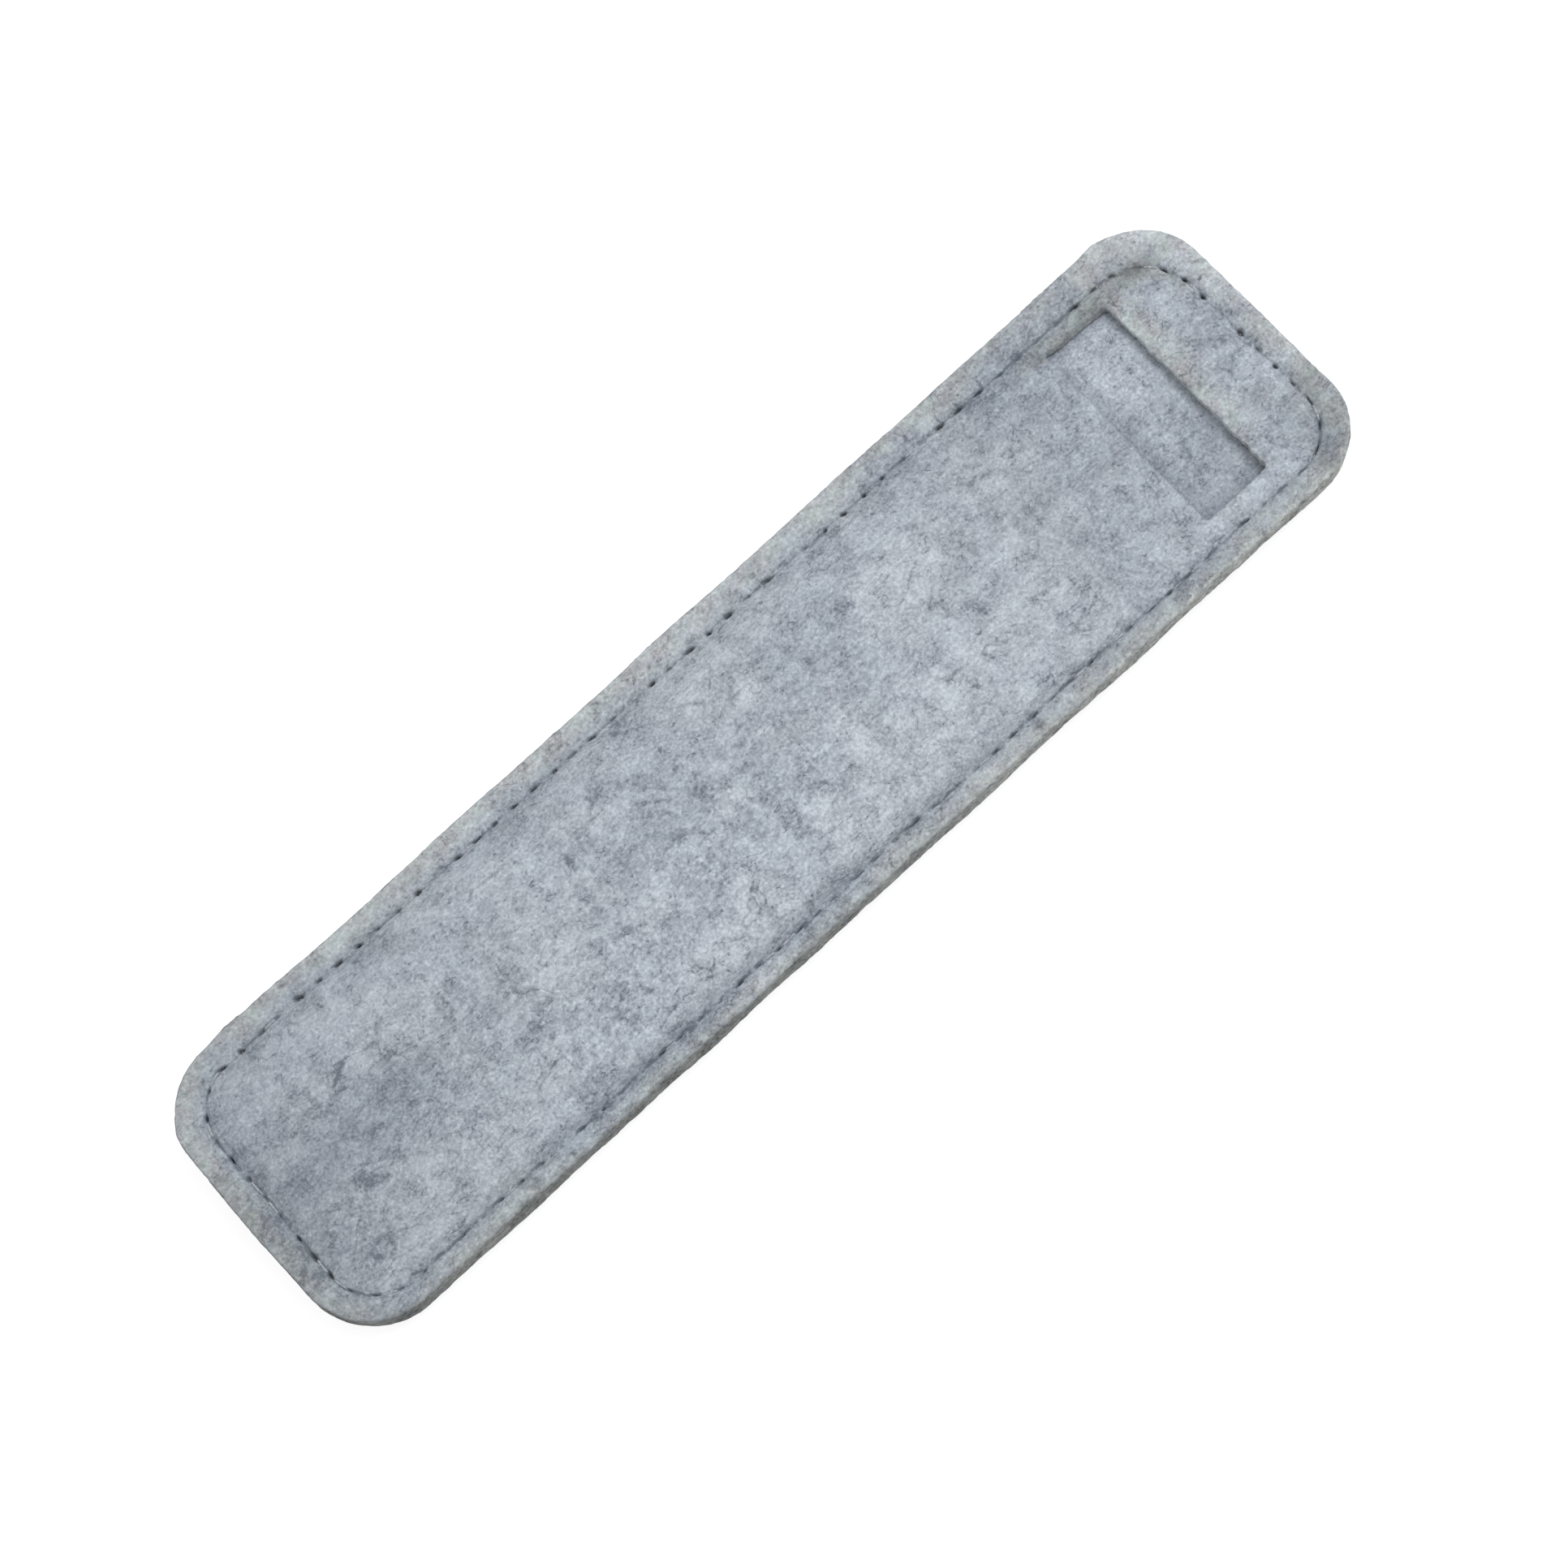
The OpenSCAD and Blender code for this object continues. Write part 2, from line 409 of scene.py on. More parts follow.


# How much darker the middle is; painted shade: how much darker the toe and the mouth end are, as
# the light falls off, and the left by its seam; and painted light: how much paler the right is in a
# broad and in a narrow line along the seam
TOE_PAINTED_SHADE, MOUTH_PAINTED_SHADE, MIDDLE_DARKER, LEFT_PAINTED_SHADE = 0.18, 0.08, 0.06, 0.09
RIGHT_PAINTED_LIGHT, LINE_PAINTED_LIGHT = 0.02, 0.07


def body_tone(points, outside, covered):
    """How much lighter or darker the felt is along and across the sleeve, as a factor: mostly painted
    light and shade.
    """
    x, y = points.T
    left = above(y, *TONE_LEFT)
    right = 1 - left
    toe = 1 - TOE_PAINTED_SHADE * (1 - above(x, -88, 70)) * mixed(below(y, 12, 10), 0.35, 1)
    mouth = 1 - MOUTH_PAINTED_SHADE * above(x, 24, 28) * (1 - covered) * mixed(above(x, 71, 3), 1, 0.35)
    side = 1 - LEFT_PAINTED_SHADE * left * bell(outside / 4.2) + RIGHT_PAINTED_LIGHT * right * near(outside, -5, 4)
    side += LINE_PAINTED_LIGHT * right * near(outside, -1.3, 1.3)
    middle = 1 - MIDDLE_DARKER * near(y, 0.3, 2.2)
    return toe * mouth * side * middle


# How much paler the margin is on the left and darker on the right, and paler beyond the window:
# painted light on the left and beyond the window, and painted shade on the right
MARGIN_PAINTED_LIGHT, MARGIN_PAINTED_SHADE, END_PALER, END_LEFT_PALER = 0.14, 0.06, 0.08, 0.06


def margin_tone(points, outside):
    """How much paler the felt is outside the seam: painted light, and painted shade on the right."""
    x, y = points.T
    end = above(x, 79, 2) * (END_PALER + END_LEFT_PALER * above(y, -12, 6))
    return above(outside, -0.3, 0.8) * (MARGIN_PAINTED_LIGHT * above(y, *TONE_LEFT) - MARGIN_PAINTED_SHADE + end)


# How much paler or, under 0, darker the felt is beyond the window, along its left edge, in the corner,
# at the right-hand end, and along the window's right edge; the darkening in the corner, inside the
# seam, and at the right-hand end is painted shade
CAP_PALER, BAND_PALER, CORNER_PAINTED_SHADE, RIGHT_END_PAINTED_SHADE, RIGHT_EDGE_PALER = 0.05, -0.21, -0.11, -0.23, 0.13


def rim_tone(points, outside):
    """How much paler the felt is round the window, and darker, with painted shade, in the corner and at
    the right-hand end.
    """
    x, y = points.T
    right_edge = near(y, -15.6, 1.8) * (y < -15.6) * above(x, 58, 3) * below(x, 75, 3)
    return (
        CAP_PALER * cap(points, 72.4, 2.5)
        + BAND_PALER * band(points, 2, 57)
        + CORNER_PAINTED_SHADE * mouth_corner(points, outside, 2.4, (68, 6), (8, 5))
        + RIGHT_END_PAINTED_SHADE * right_end(points)
        + RIGHT_EDGE_PALER * right_edge
    )


# Lines of painted shade on the window's floor: 0 for across the sleeve or 1 for along it, then the
# line's place, its half width and how much darker it is
FLOOR_PAINTED_SHADES = (
    (0, 70.2, 3.2, 0.12), (1, -15.5, 3.5, 0.1), (1, -15.3, 1.1, 0.12),
    (1, 14.6, 1.2, 0.12), (1, 14.8, 0.5, 0.2),
)
# Painted light and shade over the window's floor: how much paler it is, paler still to the left and darker
# to the right; painted light at the far wall's foot and painted shade by the near wall
FLOOR_PAINTED_LIGHT, FLOOR_LEFT_PAINTED_LIGHT, FLOOR_RIGHT_PAINTED_SHADE = 0.08, 0.04, 0.14
FAR_PAINTED_LIGHT, NEAR_PAINTED_SHADE = 0.1, 0.12


def floor_light_and_shade(points):
    """How much paler the felt in the window is, all painted light and shade: palest to the left, and
    darkest by the walls.
    """
    x, y = points.T
    paler = FLOOR_PAINTED_LIGHT + FLOOR_LEFT_PAINTED_LIGHT * above(y, 0, 10) - FLOOR_RIGHT_PAINTED_SHADE * below(y, 6, 16)
    for axis, place, reach, darker in FLOOR_PAINTED_SHADES:
        paler -= darker * near(points[:, axis], place, reach)
    paler += FAR_PAINTED_LIGHT * near(x, 71.3, 0.9) * below(y, 8, 8)
    return paler - NEAR_PAINTED_SHADE * near(x, 62.2, 1.5) * below(y, -5, 7)


def tone(points, outside, covered):
    """How much lighter or darker the felt is by place, as a factor: mostly painted light and shade,
    with the felt's own denser and paler patches.

    covered is 1 for an inner face, which takes the window floor's painted light and shade and not the
    mouth end's painted shade."""
    shifts = margin_tone(points, outside) + rim_tone(points, outside)
    shifts += covered * floor_light_and_shade(points) - clouds(points)
    return body_tone(points, outside, covered) * (1 + shifts)


# How much stronger the fibres stand out in the right-hand half, and how much less on the toe's left
STRONG_SHARE, WEAK_SHARE = 0.15, 0.14
# The cut edge's tone at the toe's tip, and how much it gains from there and towards the mouth; its
# darkness towards the toe is painted shade, like the faces'
CUT_TONE, CUT_GAIN, CUT_MOUTH_GAIN = 0.92, 0.13, 0.85


def contrast(points):
    """How strongly the fibres stand out from each other: most in the right-hand half."""
    x, y = points.T
    strong = STRONG_SHARE * below(y, 6, 12) * below(x, 26, 18)
    return 1 + strong - WEAK_SHARE * above(y, 6, 8) * below(x, -30, 30)


def cut_tone(points):
    """How much lighter or darker the cut edge is by place: darkest towards the toe, with painted shade."""
    x = points[:, 0]
    return CUT_TONE + CUT_GAIN * above(x, -85, 30) + CUT_MOUTH_GAIN * above(x, -30, 90)


def drawn_out(points):
    """How far the needle holes are drawn out into a crease: along the right-hand side."""
    return below(points[:, 1], -8, 6)


# How unevenly the stitches were pulled: the ranges of each pit's pull, slant, length, width and place
PIT_RANGES = ((0.15, 1.3), (-0.22, 0.22), (0.6, 1.6), (0.7, 1.6), (-0.15, 0.15))
PIT_SHARPNESS = 0.7
# What a drawn-out pit loses in slant and width, and in length and pull at the toe and the mouth
SLANT_LOSS, WIDTH_LOSS = 0.7, 0.52
LENGTH_LOSSES, PULL_LOSSES = (0.25, -0.25), (0.4, 0.25)


def needle_pits(points, along, outside):
    """How hard each point is pulled in by its nearest needle hole, and how far along from it it lies."""
    past, number = from_hole(along)
    rng = np.random.default_rng(21)
    pull, slant, length, width, shift = (rng.uniform(*span, STITCHES)[number] for span in PIT_RANGES)
    drawn = drawn_out(points)
    to_mouth = above(points[:, 0], -30, 40)
    pull = pull * (1 - drawn * mixed(to_mouth, *PULL_LOSSES))
    slant = (slant + PIT_SLANT) * (1 - SLANT_LOSS * drawn)
    length = length * PIT_L * (1 - drawn * mixed(to_mouth, *LENGTH_LOSSES))
    width = width * PIT_W * (1 - WIDTH_LOSS * drawn)
    past = past + shift
    off = (past / length) ** 2 + ((outside - slant * past) / width) ** 2
    return pull * bell(off**PIT_SHARPNESS), past


def valley_depth(along):
    """How deep the felt is drawn in along the seam, a little unevenly."""
    return VALLEY_DEPTH * (1 + waves(along, 23, 0.18, (5, 23)))


def seam_relief(points, along, outside):
    """How deep the stitches pull the felt in, and how near each point is to a needle hole, 0 to 1."""
    pit, past = needle_pits(points, along, outside)
    left = above(points[:, 1], *SEAM_LEFT)
    toe_corner = below(points[:, 0], *TOE_TIP) * (1 - left)
    inner_w = mixed(np.maximum(left, 0.7 * toe_corner), VALLEY_RIGHT_W, VALLEY_LEFT_W)
    width = np.where(outside < 0, inner_w, VALLEY_OUTER_W)
    valley = valley_depth(along) * (1 + 0.2 * bell(past / 0.9)) * bell(outside / width)
    groove = GROOVE_DEPTH * mixed(SHOWING[stitch_at(along)], 0.6, 1) * bell(outside / GROOVE_W)
    return valley + groove + PIT_DEPTH * pit, np.clip(pit, 0, 1)


# The height and wave lengths of the felt's broad and fine swells, and how far inside the seam the
# broad ones come up
SWELL, SWELL_LENGTHS, SWELL_REACH = 0.05, (7, 22), 4
FINE_SWELL, FINE_LENGTHS = 0.018, (2.2, 5)


def swells(points, outside, seed):
    """The broad swells of the felt, which both faces of a panel share."""
    return ripples(points, seed, SWELL, SWELL_LENGTHS) * below(outside, 0, SWELL_REACH)


def outer_face(points, seed, side):
    """Heights of a panel's outer face over the seam plane, and the marks that its material reads."""
    along, outside = seam_coordinates(points)
    depth, pit = seam_relief(points, along, outside)
    height = crown(points) - depth + swells(points, outside, seed)
    height += ripples(points, seed + 1, FINE_SWELL, FINE_LENGTHS)
    height -= rim_sink(points) if side > 0 else DENT * below(off_window(points), DENT_START, DENT_L)
    return height, pit, along, outside


def inner_face(points, seed, side):
    """Heights of a panel's inner face over the seam plane, and how far outside the seam it lies."""
    outside = seam_coordinates(points)[1]
    height = crown(points) - FELT_T + swells(points, outside, seed)
    height = np.maximum(height, 0) + PARTING
    rise = thinning(points)
    return height + (rise if side > 0 else -rise - pillow(points)), outside


def within(points, polygon):
    """Which of the points lie inside a closed polygon."""
    inside = np.zeros(len(points), bool)
    x, y = points.T
    for (ax, ay), (bx, by) in zip(polygon, np.roll(polygon, -1, axis=0)):
        if ay != by:
            crosses = (ay > y) != (by > y)
            inside ^= crosses & (x < ax + (y - ay) * (bx - ax) / (by - ay))
    return inside


def filled(points, loops):
    """Triangles that fill the first loop, apart from what the others enclose.

    loops are the numbers of points in each boundary, in order from the first point."""
    edges, start = [], 0
    for count in loops:
        edges += [(start + i, start + (i + 1) % count) for i in range(count)]
        start += count
    coords = [Vector(p) for p in points]
    found = delaunay_2d_cdt(coords, edges, [], 1, 1e-6)
    origin = [source[0] for source in found[3]]
    faces = np.array([[origin[v] for v in face] for face in found[2]])
    start = loops[0]
    for count in loops[1:]:
        middles = points[faces].mean(axis=1)
        faces = faces[~within(middles, points[start : start + count])]
        start += count
    a, b, c = (points[faces[:, i]] for i in range(3))
    double_area = (b[:, 0] - a[:, 0]) * (c[:, 1] - a[:, 1]) - (b[:, 1] - a[:, 1]) * (c[:, 0] - a[:, 0])
    faces[double_area < 0] = faces[double_area < 0][:, ::-1]
    return faces


def placed(name, data):
    """An object in the scene for that mesh, lamp or camera."""
    item = bpy.data.objects.new(name, data)
    bpy.context.scene.collection.objects.link(item)
    return item


def add_mesh(name, verts, faces, marks=None):
    """A smooth mesh from millimetre points, with its marks stored as attributes."""
    mesh = bpy.data.meshes.new(name)
    mesh.from_pydata((np.asarray(verts) * MM).tolist(), [], [list(map(int, f)) for f in faces])
    mesh.polygons.foreach_set("use_smooth", [True] * len(mesh.polygons))
    for key, values in (marks or {}).items():
        layer = mesh.attributes.new(key, "FLOAT", "POINT")
        layer.data.foreach_set("value", np.asarray(values, np.float32))
    mesh.update()
    return placed(name, mesh)


def hex_grid(step, start_x=-HALF_L):
    """Points in staggered rows, over all the sleeve from start_x on."""
    points = []
    for number, y in enumerate(np.arange(-HALF_W, HALF_W, step * math.sqrt(3) / 2)):
        xs = np.arange(start_x + (number % 2) * step / 2, HALF_L, step)
        points.append(np.stack([xs, np.full(len(xs), y)], axis=1))
    return np.concatenate(points)


def off_window(points):
    """Distance of each point outside the window's rectangle."""
    x, y = points.T
    off_x = np.maximum(WINDOW_NEAR - x, x - WINDOW_FAR)
    return np.maximum(off_x, np.maximum(WINDOW_RIGHT - y, y - WINDOW_LEFT))


# A cut edge in section: how far in from the cut, and the share of the way down the wall
CUT_ROWS = (
    (0.14, 0.025), (0.04, 0.09), (0.0, 0.2), (0.0, 0.36),
    (0.0, 0.54), (0.0, 0.7), (0.02, 0.84), (0.09, 0.94),
)
CUT_ROUND = 0.3
# How rough a cut is: the spread of single points, and the size and lengths of its waves
CUT_SPREAD, CUT_WAVE, CUT_LENGTHS = 0.02, 0.03, (1.5, 9)
# The darker cut fibre shows on the brim and the face along the right-hand cut: how far in, and how much
BRIM_FRAYED = 0.55
FACE_FRAYED = ((0.55, 0.38), (0.95, 0.2))
# How far down a cut its fibre shows whole: on the outline, and on the window's frayed walls
OUTLINE_FRAY_SHARE, WINDOW_FRAY_SHARE = 0.2, 0.3
# How much cut fibre the window's walls show and its tone: on the far wall lightened with painted light,
# darker on the left; and how much darker the plain near and right walls are, with painted shade
WINDOW_FRAYED, WINDOW_CUT_TONE, FAR_WALL_PAINTED_LIGHT, LEFT_CUT_TONE = 0.45, 1.25, 2.3, 0.85
PLAIN_WALL_PAINTED_SHADE = 0.12

# Rows of points beside the stitch line, the steps of the faces' grids, and how far the floor's fine
# grid reaches from the window end
SEAM_ROWS = (0.0, 0.13, 0.27, 0.42, 0.6, 0.8, 1.05, 1.35, 1.75, 2.2)
GRID_STEP, INNER_GRID_STEP = 0.95, 1.6
FLOOR_STEP, FLOOR_REACH = 0.42, 28
# Clearances: the grid from the rows, the inner grid past the seam, and from the window the rows, the
# grid, the inner grid and the back's, whose fine floor reaches past its edge
ROWS_GAP, INNER_PAST_SEAM = 0.6, 1.8
ROWS_OFF, GRID_OFF, INNER_OFF, BACK_OFF, FLOOR_PAST = 1.2, 1.5, 1.2, 1.4, 0.8


def cuts(side, seed):
    """The cuts that bound a panel, each with its stations, and -1 for the outline or 1 for the window."""
    at_window, at_toe = WIDE_OF_LINE[side]
    left = [(HALF_L, HALF_W), (-HALF_L, HALF_W)]
    corners = [(HALF_L, -HALF_W - at_window), *left, (-HALF_L, -HALF_W - at_toe)]
    outline = Loop(corners, OUTLINE_RADII, OUTLINE_WANDER, seed, SNIPS)
    loops = [(outline, outline.stations(OUTLINE_STEP), -1.0)]
    if side > 0:
        loops.append((WINDOW, WINDOW.stations(WINDOW_STEP), 1.0))
    return loops


def brims(loops):
    """Points on the brim of each cut and in from it, and how much cut fibre shows there."""
    brim, beyond, on_brim, on_face = [], [], [], []
    for loop, stations, inward in loops:
        points, normals = loop.at(stations)
        to_right = np.clip(-normals[:, 1], 0, 1) * (inward < 0)
        brim.append(points + normals * inward * CUT_ROUND)
        on_brim.append(BRIM_FRAYED * to_right)
        points, normals = loop.at(stations + (stations[1] - stations[0]) / 2)
        for inset, share in FACE_FRAYED:
            beyond.append(points + normals * inward * inset)
            on_face.append(share * to_right)
    return np.concatenate(brim), np.concatenate(beyond), np.concatenate(on_brim + on_face)


def face_points(side):
    """Points that fill a panel's outer and inner face, close together by the seam and in the window."""
    rows = []
    for row in sorted({*SEAM_ROWS, *(-r for r in SEAM_ROWS)}):
        thinned = slice(None) if abs(row) < 1 else slice(None, None, 2)
        rows.append(STATION_POINTS[thinned] + STATION_NORMALS[thinned] * row)
    rows = np.concatenate(rows)
    grid = hex_grid(GRID_STEP)
    grid = grid[seam_coordinates(grid)[1] < -SEAM_ROWS[-1] - ROWS_GAP]
    inner = hex_grid(INNER_GRID_STEP)
    inner = inner[seam_coordinates(inner)[1] < INNER_PAST_SEAM]
    if side > 0:
        outer = np.concatenate([rows[off_window(rows) > ROWS_OFF], grid[off_window(grid) > GRID_OFF]])
        return outer, inner[off_window(inner) > INNER_OFF]
    floor = hex_grid(FLOOR_STEP, HALF_L - FLOOR_REACH)
    floor = floor[off_window(floor) < FLOOR_PAST]
    return np.concatenate([rows, grid]), np.concatenate([inner[off_window(inner) > BACK_OFF], floor])


def cut_wall(loop, stations, inward, ends, top_tone, seed, first):
    """Rows of points down a cut edge, and each row's cut fibre, that fibre's tone, felt tone and stain.

    ends are the heights of its top and foot. The window's near and right walls are plain, without cut
    fibre or stain, and darkened with painted shade; the far wall's cut fibre is lightened with painted
    light."""
    rng = np.random.default_rng(seed + 50 + first)
    points, normals = loop.at(stations)
    at_window = inward > 0
    to_left = np.clip(normals[:, 1], 0, 1)
    lean = WALL_LEAN * at_window * to_left
    plain = np.clip(-normals[:, 0] - normals[:, 1], 0, 1) * at_window
    wall_tone = cut_tone(points)
    if at_window:
        wall_tone = mixed(np.clip(normals[:, 0], 0, 1), WINDOW_CUT_TONE, FAR_WALL_PAINTED_LIGHT)
        wall_tone += (LEFT_CUT_TONE - WINDOW_CUT_TONE) * to_left
    felt_tone = top_tone * (1 - PLAIN_WALL_PAINTED_SHADE * plain)
    rows, marks = [], []
    for inset, share in CUT_ROWS:
        rough = rng.normal(0, CUT_SPREAD, len(stations))
        rough += waves(stations, seed + int(share * 100), CUT_WAVE, CUT_LENGTHS)
        row = points + normals * (inward * (inset + rough) - lean * share)[:, None]
        rows.append(np.column_stack([row, mixed(share, *ends)]))
        frayed = np.full(len(stations), mixed(ease(share / OUTLINE_FRAY_SHARE), BRIM_FRAYED, 1))
        if at_window:
            frayed = WINDOW_FRAYED * ease(share / WINDOW_FRAY_SHARE) * (1 - plain)
        marks.append((frayed, wall_tone, felt_tone, at_window * (1 - plain)))
    return rows, marks


def ring_faces(rings, flipped):
    """Triangles between each ring of points and the next."""
    faces = []
    for upper, lower in zip(rings, rings[1:]):
        quads = np.column_stack([upper, np.roll(upper, -1), np.roll(lower, -1), lower])
        quads = quads[:, ::-1] if flipped else quads
        faces.append(np.concatenate([quads[:, [0, 1, 2]], quads[:, [0, 2, 3]]]))
    return faces


# The felt that the stitches press: how far that reaches inside and outside the seam, each on the right
# and on the left, how strong it is on the right, and how much more at the toe; its darkening is
# partly pressed felt and partly painted shade of the seam's valley
PRESSED_INSIDE, PRESSED_OUTSIDE = (1.1, 1.6), (1.3, 0.8)
PRESSED_RIGHT, TOE_PRESSED_MORE = 0.72, 0.35
# How much of a crease the mouth's left-hand side has, and how much stronger a crease makes the
# painted shade
MOUTH_CREASE, CREASE_MORE = 0.8, 1.6


def seam_marks(points, pit, along, outside, total):
    """The marks of the outer face alone, filled up to a total of points."""
    x, y = points.T
    left = above(y, *SEAM_LEFT)
    reach = np.where(outside < 0, mixed(left, *PRESSED_INSIDE), mixed(left, *PRESSED_OUTSIDE))
    pressed = bell(outside / reach) * mixed(left, PRESSED_RIGHT, 1)
    pressed *= 1 + TOE_PRESSED_MORE * below(x, *TOE_TIP)
    pressed *= above(along, 0, 3) * below(along, SEAM.length, 3)
    painted_crease_shade = np.maximum(drawn_out(points), MOUTH_CREASE * above(x, 48, 12) * above(y, 8, 6))
    rest = total - len(points)
    marks = {
        "needle_hole": pit,
        "rim": above(outside, 1.6, 1.8),
        "along_seam": along,
        "off_seam": outside,
        "pressed": pressed,
        "painted_crease_shade": pressed * (1 + CREASE_MORE * painted_crease_shade),
    }
    marks = {key: np.concatenate([values, np.zeros(rest)]) for key, values in marks.items()}
    marks["contrast"] = np.concatenate([contrast(points), np.ones(rest)])
    return marks


def felt_panel(name, side, seed):
    """One felt panel as a closed mesh. side is 1 for the front and -1 for the back."""
    loops = cuts(side, seed)
    counts = [len(stations) for _, stations, _ in loops]
    brim, beyond, face_cut = brims(loops)
    outer_fill, inner_fill = face_points(side)
    outer = np.concatenate([brim, beyond, outer_fill])
    inner = np.concatenate([brim, inner_fill])
    outer_z, pit, along, outside = outer_face(outer, seed + 30, side)
    inner_z, inner_outside = inner_face(inner, seed + 30, side)
    outer_cut, inner_cut = np.zeros(len(outer)), np.zeros(len(inner))
    outer_cut[: len(face_cut)] = face_cut
    inner_cut[: counts[0]] = 1.0
    top_tone = tone(outer, outside, 0)

    verts = [np.column_stack([outer, outer_z]), np.column_stack([inner, inner_z])]
    faces = [filled(outer, counts), filled(inner, counts)[:, ::-1] + len(outer)]
    layers = [
        (outer_cut, cut_tone(outer), top_tone, stained(outer, outside)),
        (inner_cut, cut_tone(inner), tone(inner, inner_outside, 1), np.zeros(len(inner))),
    ]
    total = len(outer) + len(inner)
    first = 0
    for (loop, stations, inward), count in zip(loops, counts):
        here = np.arange(first, first + count)
        ends = outer_z[here], inner_z[here]
        rows, row_layers = cut_wall(loop, stations, inward, ends, top_tone[here], seed, first)
        verts += rows
        layers += row_layers
        down = [total + row * count + np.arange(count) for row in range(len(CUT_ROWS))]
        faces += ring_faces([here, *down, here + len(outer)], inward < 0)
        total += len(CUT_ROWS) * count
        first += count

    verts = np.concatenate(verts)
    verts[:, 2] = np.maximum(SEAM_Z + side * verts[:, 2], 0)
    faces = np.concatenate(faces)
    names = ("cut_edge", "cut_tone", "tone", "stained")
    marks = {key: np.concatenate(values) for key, values in zip(names, zip(*layers))}
    marks.update(seam_marks(outer, pit, along, outside, total))
    return add_mesh(name, verts, faces if side > 0 else faces[:, ::-1], marks)


def tube(name, centres, sides, radius_at):
    """A closed ring of thread along centres. radius_at gives each ring's radii round its sides."""
    ahead = np.roll(centres, -1, axis=0) - np.roll(centres, 1, axis=0)
    ahead /= np.linalg.norm(ahead, axis=1)[:, None]
    aside = np.column_stack([ahead[:, 1], -ahead[:, 0], np.zeros(len(ahead))])
    aside /= np.linalg.norm(aside, axis=1)[:, None]
    up = np.cross(ahead, aside)
    turns = np.arange(sides) * 2 * np.pi / sides
    radii = radius_at(turns)
    rings = (
        centres[:, None, :]
        + aside[:, None, :] * (radii * np.cos(turns))[:, :, None]
        + up[:, None, :] * (radii * np.sin(turns))[:, :, None]
    )
    count = len(centres)
    numbers = np.arange(count * sides).reshape(count, sides)
    onward = np.roll(numbers, -1, axis=0)
    faces = np.stack([numbers, onward, np.roll(onward, -1, axis=1), np.roll(numbers, -1, axis=1)], axis=2)
    return add_mesh(name, rings.reshape(-1, 3), faces.reshape(-1, 4))


def sewing_thread(name, side, seed):
    """The thread that shows on one face: from hole to hole, diving into each."""
    along = SEAM.stations(THREAD_STEP)
    points, normals = SEAM.at(along)
    past = from_hole(along)[0]
    points = points + normals * waves(along, seed, THREAD_WANDER, (2, 7))[:, None]
    sunk = valley_depth(along) + GROOVE_DEPTH + SINK * (1 - SHOWING[stitch_at(along)])
    climb = above(np.abs(past), RISE_START, RISE_END - RISE_START)
    height = crown(points) - sunk + 0.7 * THREAD_R - THREAD_DIP * (1 - climb)
    centres = np.column_stack([points, SEAM_Z + side * height])
    twist = 2 * np.pi * along / TWIST_L

    def radius_at(turns):
        strands = np.cos(3 * (turns[None, :] - twist[:, None]))
        return THREAD_R * (STRAND_R + STRAND_RISE * strands)

    return tube(name, centres, THREAD_SIDES, radius_at)


class Shader:
    """Builds a material: each call adds a node and gives its output."""

    def __init__(self, name):
        self.material = bpy.data.materials.new(name)
        self.material.use_nodes = True
        self.tree = self.material.node_tree
        self.surface = self.tree.nodes["Principled BSDF"]

    def add(self, kind, inputs=None, output=0, **settings):
        node = self.tree.nodes.new(kind)
        for key, value in settings.items():
            setattr(node, key, value)
        self.fill(node, inputs or {})
        return node.outputs[output]

    def fill(self, node, inputs):
        """Sets a node's inputs, each to a value or to another node's output."""
        for key, value in inputs.items():
            if isinstance(value, bpy.types.NodeSocket):
                self.tree.links.new(value, node.inputs[key])
            else:
                node.inputs[key].default_value = value

    def places(self, stretch=(1, 1, 1)):
        """The point on the piece in millimetres, stretched along each axis."""
        point = self.add("ShaderNodeTexCoord", output=3)
        scale = tuple(1 / (MM * s) for s in stretch)
        return self.add("ShaderNodeVectorMath", {0: point, 1: scale}, operation="MULTIPLY")

    def noise(self, places, size, detail=2.0, roughness=0.5, distortion=0.0):
        """Cloudy noise from 0 to 1 whose largest features are about that many millimetres."""
        inputs = {"Vector": places, "Scale": 1 / size, "Detail": detail, "Roughness": roughness}
        return self.add("ShaderNodeTexNoise", {**inputs, "Distortion": distortion})

    def math(self, operation, a, b=0.0, clamp=False):
        return self.add("ShaderNodeMath", {0: a, 1: b}, operation=operation, use_clamp=clamp)

    def plus(self, a, b, clamp=False):
        return self.math("ADD", a, b, clamp)

    def minus(self, a, b):
        return self.math("SUBTRACT", a, b)

    def times(self, a, b):
        return self.math("MULTIPLY", a, b)

    def swing(self, value, size):
        """How far value lies over or under 0.5, times size."""
        return self.times(self.minus(value, 0.5), size)

    def remap(self, value, low, high, to_low=0.0, to_high=1.0):
        """value's range from low to high, carried over to another and held there."""
        inputs = {"Value": value, "From Min": low, "From Max": high, "To Min": to_low, "To Max": to_high}
        return self.add("ShaderNodeMapRange", inputs)

    def mix(self, share, a, b, blend="MIX"):
        inputs = {"Factor": share, 6: a, 7: b}
        return self.add("ShaderNodeMix", inputs, output=2, data_type="RGBA", blend_type=blend)

    def mark(self, name):
        return self.add("ShaderNodeAttribute", output=2, attribute_name=name)


def linear(red, green, blue):
    """A display colour, 0 to 255, as the linear colour that a shader takes."""
    def one(value):
        value /= 255
        return value / 12.92 if value <= 0.04045 else ((value + 0.055) / 1.055) ** 2.4
    return (one(red), one(green), one(blue), 1.0)


